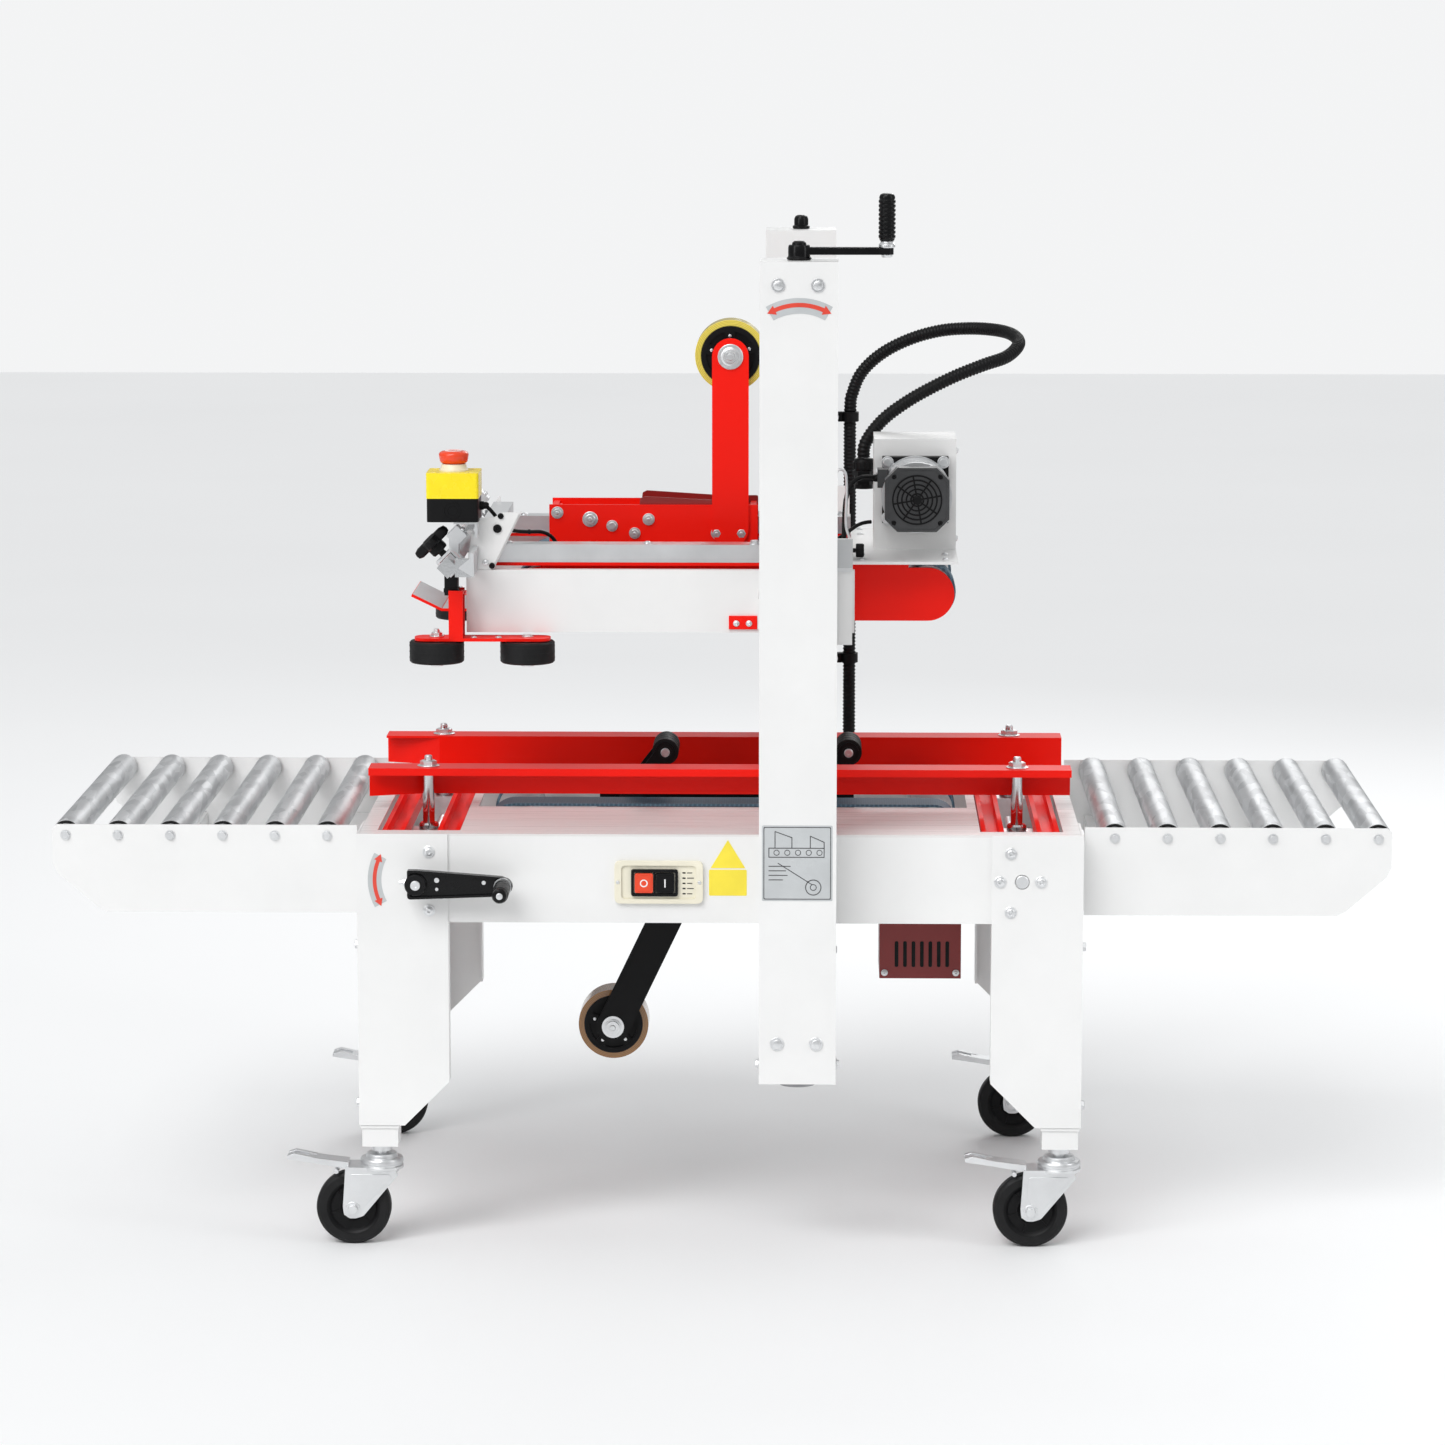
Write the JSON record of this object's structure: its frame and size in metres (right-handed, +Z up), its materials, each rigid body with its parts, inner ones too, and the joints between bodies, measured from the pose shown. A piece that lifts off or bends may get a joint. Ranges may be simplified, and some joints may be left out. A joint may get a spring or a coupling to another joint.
{
  "type": "carton sealer",
  "caption": "Carton sealing machine on casters: bed with side belts and hand-set guides, roller tables, two columns and a belt-driven upper taping head.",
  "frame": {"origin": "on the floor under the middle of the bed, between the two roller tables", "axes": "+X the way the cartons travel, +Y from the operator's side to the back, +Z up"},
  "size_m": [1.788, 0.876, 1.408],
  "materials": {
    "white_paint": "semi-gloss powder coat",
    "red_paint": "semi-gloss powder coat",
    "black_paint": "satin paint",
    "zinc_steel": "zinc plated",
    "roller_steel": "galvanised tube",
    "motor_grey": "hammered dark grey enamel",
    "belt_rubber": "woven blue-grey grip face",
    "wheel_rubber": "moulded black",
    "beige_plastic": "moulded",
    "yellow_plastic": "moulded",
    "red_plastic": "moulded",
    "black_plastic": "ribbed nylon",
    "tape_film": "wound film edge"
  },
  "bodies": {
    "root": {"bed_frame": "white_paint", "bed_top": "white_paint", "outer_legs": "white_paint", "columns": "white_paint", "table_frames": "white_paint", "frame_bolts": "zinc_steel", "guide_tracks": "red_paint", "under_bed_drives": "motor_grey", "lower_belts": "belt_rubber", "lower_cartridge_frame": "black_paint", "switch_plate": "beige_plastic", "conduit": "black_plastic"},
    "head": {"head_frame": "white_paint", "head_covers": "white_paint", "upper_drive_unit": "motor_grey", "upper_belts": "belt_rubber", "upper_cartridge_frame": "red_paint", "estop_box": "yellow_plastic"},
    "leg_tubes": {"leg_tubes": "white_paint"},
    "front_left_caster_fork": {"front_left_caster_fork": "zinc_steel"},
    "front_right_caster_fork": {"front_right_caster_fork": "zinc_steel"},
    "rear_left_caster_fork": {"rear_left_caster_fork": "zinc_steel"},
    "rear_right_caster_fork": {"rear_right_caster_fork": "zinc_steel"},
    "front_left_wheel": {"front_left_wheel": "wheel_rubber"},
    "front_right_wheel": {"front_right_wheel": "wheel_rubber"},
    "rear_left_wheel": {"rear_left_wheel": "wheel_rubber"},
    "rear_right_wheel": {"rear_right_wheel": "wheel_rubber"},
    "infeed_roller_1": {"infeed_roller_1": "roller_steel"},
    "infeed_roller_2": {"infeed_roller_2": "roller_steel"},
    "infeed_roller_3": {"infeed_roller_3": "roller_steel"},
    "infeed_roller_4": {"infeed_roller_4": "roller_steel"},
    "infeed_roller_5": {"infeed_roller_5": "roller_steel"},
    "infeed_roller_6": {"infeed_roller_6": "roller_steel"},
    "outfeed_roller_1": {"outfeed_roller_1": "roller_steel"},
    "outfeed_roller_2": {"outfeed_roller_2": "roller_steel"},
    "outfeed_roller_3": {"outfeed_roller_3": "roller_steel"},
    "outfeed_roller_4": {"outfeed_roller_4": "roller_steel"},
    "outfeed_roller_5": {"outfeed_roller_5": "roller_steel"},
    "outfeed_roller_6": {"outfeed_roller_6": "roller_steel"},
    "front_guide_rail": {"front_guide_rail": "red_paint"},
    "rear_guide_rail": {"rear_guide_rail": "red_paint"},
    "width_crank": {"width_crank": "zinc_steel"},
    "right_width_screw": {"right_width_screw": "zinc_steel"},
    "lift_crank": {"lift_crank": "zinc_steel"},
    "rear_lift_screw": {"rear_lift_screw": "zinc_steel"},
    "front_press_bracket": {"front_press_bracket": "red_paint"},
    "rear_press_bracket": {"rear_press_bracket": "red_paint"},
    "front_press_roller_1": {"front_press_roller_1": "wheel_rubber"},
    "front_press_roller_2": {"front_press_roller_2": "wheel_rubber"},
    "rear_press_roller_1": {"rear_press_roller_1": "wheel_rubber"},
    "rear_press_roller_2": {"rear_press_roller_2": "wheel_rubber"},
    "upper_infeed_arm": {"upper_infeed_arm": "black_paint"},
    "upper_outfeed_arm": {"upper_outfeed_arm": "black_paint"},
    "lower_infeed_arm": {"lower_infeed_arm": "black_paint"},
    "lower_outfeed_arm": {"lower_outfeed_arm": "black_paint"},
    "upper_tape_roll": {"upper_tape_roll": "tape_film"},
    "lower_tape_roll": {"lower_tape_roll": "tape_film"},
    "estop_button": {"estop_button": "red_plastic"},
    "start_button": {"start_button": "black_plastic"},
    "stop_button": {"stop_button": "red_plastic"}
  },
  "joints": [
    {"name": "head_height", "type": "slide", "parent": "root", "child": "head", "axis": [0, 0, 1], "range_m": [-0.125, 0.25], "deforming": ["conduit"]},
    {"name": "lift_crank_turn", "type": "hinge", "parent": "root", "child": "lift_crank", "pos_m": [0.1035, -0.384, 1.33], "axis": [0, 0, 1], "range_deg": [-5630, 11255]},
    {"name": "rear_screw_turn", "type": "hinge", "parent": "root", "child": "rear_lift_screw", "pos_m": [0.1035, 0.384, 1.33], "axis": [0, 0, 1], "range_deg": [-5630, 11255]},
    {"name": "side_guides", "type": "slide", "parent": "root", "child": "front_guide_rail", "axis": [0, -1, 0], "range_m": [-0.04, 0.14]},
    {"name": "rear_guide_travel", "type": "slide", "parent": "root", "child": "rear_guide_rail", "axis": [0, 1, 0], "range_m": [-0.041, 0.141]},
    {"name": "width_crank_turn", "type": "hinge", "parent": "root", "child": "width_crank", "pos_m": [-0.4, -0.384, 0.5], "axis": [0, -1, 0], "range_deg": [-1805, 6305]},
    {"name": "right_width_screw_turn", "type": "hinge", "parent": "root", "child": "right_width_screw", "pos_m": [0.4, 0, 0.5], "axis": [0, -1, 0], "range_deg": [-1805, 6305]},
    {"name": "leg_extension", "type": "slide", "parent": "root", "child": "leg_tubes", "axis": [0, 0, -1], "range_m": [0, 0.15]},
    {"name": "front_left_caster_swivel", "type": "hinge", "parent": "leg_tubes", "child": "front_left_caster_fork", "pos_m": [-0.4535, -0.3135, 0.11], "axis": [0, 0, 1], "continuous": true},
    {"name": "front_left_wheel_spin", "type": "hinge", "parent": "front_left_caster_fork", "child": "front_left_wheel", "pos_m": [-0.4915, -0.3135, 0.05], "axis": [0, 1, 0], "continuous": true},
    {"name": "front_right_caster_swivel", "type": "hinge", "parent": "leg_tubes", "child": "front_right_caster_fork", "pos_m": [0.4535, -0.3135, 0.11], "axis": [0, 0, 1], "continuous": true},
    {"name": "front_right_wheel_spin", "type": "hinge", "parent": "front_right_caster_fork", "child": "front_right_wheel", "pos_m": [0.4155, -0.3135, 0.05], "axis": [0, 1, 0], "continuous": true},
    {"name": "rear_left_caster_swivel", "type": "hinge", "parent": "leg_tubes", "child": "rear_left_caster_fork", "pos_m": [-0.4535, 0.3135, 0.11], "axis": [0, 0, 1], "continuous": true},
    {"name": "rear_left_wheel_spin", "type": "hinge", "parent": "rear_left_caster_fork", "child": "rear_left_wheel", "pos_m": [-0.4915, 0.3135, 0.05], "axis": [0, 1, 0], "continuous": true},
    {"name": "rear_right_caster_swivel", "type": "hinge", "parent": "leg_tubes", "child": "rear_right_caster_fork", "pos_m": [0.4535, 0.3135, 0.11], "axis": [0, 0, 1], "continuous": true},
    {"name": "rear_right_wheel_spin", "type": "hinge", "parent": "rear_right_caster_fork", "child": "rear_right_wheel", "pos_m": [0.4155, 0.3135, 0.05], "axis": [0, 1, 0], "continuous": true},
    {"name": "infeed_roller_1_spin", "type": "hinge", "parent": "root", "child": "infeed_roller_1", "pos_m": [-0.525, 0, 0.5494], "axis": [0, 1, 0], "continuous": true},
    {"name": "infeed_roller_2_spin", "type": "hinge", "parent": "root", "child": "infeed_roller_2", "pos_m": [-0.595, 0, 0.5494], "axis": [0, 1, 0], "continuous": true},
    {"name": "infeed_roller_3_spin", "type": "hinge", "parent": "root", "child": "infeed_roller_3", "pos_m": [-0.665, 0, 0.5494], "axis": [0, 1, 0], "continuous": true},
    {"name": "infeed_roller_4_spin", "type": "hinge", "parent": "root", "child": "infeed_roller_4", "pos_m": [-0.735, 0, 0.5494], "axis": [0, 1, 0], "continuous": true},
    {"name": "infeed_roller_5_spin", "type": "hinge", "parent": "root", "child": "infeed_roller_5", "pos_m": [-0.805, 0, 0.5494], "axis": [0, 1, 0], "continuous": true},
    {"name": "infeed_roller_6_spin", "type": "hinge", "parent": "root", "child": "infeed_roller_6", "pos_m": [-0.875, 0, 0.5494], "axis": [0, 1, 0], "continuous": true},
    {"name": "outfeed_roller_1_spin", "type": "hinge", "parent": "root", "child": "outfeed_roller_1", "pos_m": [0.525, 0, 0.5494], "axis": [0, 1, 0], "continuous": true},
    {"name": "outfeed_roller_2_spin", "type": "hinge", "parent": "root", "child": "outfeed_roller_2", "pos_m": [0.595, 0, 0.5494], "axis": [0, 1, 0], "continuous": true},
    {"name": "outfeed_roller_3_spin", "type": "hinge", "parent": "root", "child": "outfeed_roller_3", "pos_m": [0.665, 0, 0.5494], "axis": [0, 1, 0], "continuous": true},
    {"name": "outfeed_roller_4_spin", "type": "hinge", "parent": "root", "child": "outfeed_roller_4", "pos_m": [0.735, 0, 0.5494], "axis": [0, 1, 0], "continuous": true},
    {"name": "outfeed_roller_5_spin", "type": "hinge", "parent": "root", "child": "outfeed_roller_5", "pos_m": [0.805, 0, 0.5494], "axis": [0, 1, 0], "continuous": true},
    {"name": "outfeed_roller_6_spin", "type": "hinge", "parent": "root", "child": "outfeed_roller_6", "pos_m": [0.875, 0, 0.5494], "axis": [0, 1, 0], "continuous": true},
    {"name": "front_press_slide", "type": "slide", "parent": "head", "child": "front_press_bracket", "axis": [0, 1, 0], "range_m": [-0.03, 0.11]},
    {"name": "rear_press_slide", "type": "slide", "parent": "head", "child": "rear_press_bracket", "axis": [0, -1, 0], "range_m": [-0.03, 0.11]},
    {"name": "front_press_roller_1_spin", "type": "hinge", "parent": "front_press_bracket", "child": "front_press_roller_1", "pos_m": [-0.3805, -0.227, 0.79], "axis": [0, 0, 1], "continuous": true},
    {"name": "front_press_roller_2_spin", "type": "hinge", "parent": "front_press_bracket", "child": "front_press_roller_2", "pos_m": [-0.259, -0.227, 0.79], "axis": [0, 0, 1], "continuous": true},
    {"name": "rear_press_roller_1_spin", "type": "hinge", "parent": "rear_press_bracket", "child": "rear_press_roller_1", "pos_m": [-0.3805, 0.227, 0.79], "axis": [0, 0, 1], "continuous": true},
    {"name": "rear_press_roller_2_spin", "type": "hinge", "parent": "rear_press_bracket", "child": "rear_press_roller_2", "pos_m": [-0.259, 0.227, 0.79], "axis": [0, 0, 1], "continuous": true},
    {"name": "upper_infeed_arm_swing", "type": "hinge", "parent": "head", "child": "upper_infeed_arm", "pos_m": [-0.215, 0, 0.925], "axis": [0, -1, 0], "range_deg": [0, 38], "stiffness_Nm_per_rad": 4, "springref_deg": -20.05},
    {"name": "upper_outfeed_arm_swing", "type": "hinge", "parent": "head", "child": "upper_outfeed_arm", "pos_m": [-0.07, 0, 0.925], "axis": [0, -1, 0], "range_deg": [0, 38], "stiffness_Nm_per_rad": 4, "springref_deg": -20.05},
    {"name": "lower_infeed_arm_swing", "type": "hinge", "parent": "root", "child": "lower_infeed_arm", "pos_m": [-0.15, 0, 0.535], "axis": [0, 1, 0], "range_deg": [0, 44], "stiffness_Nm_per_rad": 4, "springref_deg": -20.05},
    {"name": "lower_outfeed_arm_swing", "type": "hinge", "parent": "root", "child": "lower_outfeed_arm", "pos_m": [0.09, 0, 0.535], "axis": [0, 1, 0], "range_deg": [0, 44], "stiffness_Nm_per_rad": 4, "springref_deg": -20.05},
    {"name": "upper_tape_spin", "type": "hinge", "parent": "head", "child": "upper_tape_roll", "pos_m": [0.009, 0, 1.171], "axis": [0, 1, 0], "continuous": true},
    {"name": "lower_tape_spin", "type": "hinge", "parent": "root", "child": "lower_tape_roll", "pos_m": [-0.154, 0, 0.239], "axis": [0, 1, 0], "continuous": true},
    {"name": "estop_press", "type": "slide", "parent": "head", "child": "estop_button", "axis": [0, 0, -1], "range_m": [0, 0.005], "stiffness_N_per_m": 2500, "springref_m": -0.001},
    {"name": "start_press", "type": "slide", "parent": "root", "child": "start_button", "axis": [0, 1, 0], "range_m": [0, 0.003], "stiffness_N_per_m": 1200, "springref_m": -0.001},
    {"name": "stop_press", "type": "slide", "parent": "root", "child": "stop_button", "axis": [0, 1, 0], "range_m": [0, 0.003], "stiffness_N_per_m": 1200, "springref_m": -0.001}
  ],
  "couplings": [
    {"joint": "lift_crank_turn", "follows": "head_height", "rad_per_m": 785.4},
    {"joint": "rear_screw_turn", "follows": "head_height", "rad_per_m": 785.4},
    {"joint": "rear_guide_travel", "follows": "side_guides", "ratio": 1},
    {"joint": "width_crank_turn", "follows": "side_guides", "rad_per_m": 785.4},
    {"joint": "right_width_screw_turn", "follows": "side_guides", "rad_per_m": 785.4}
  ]
}
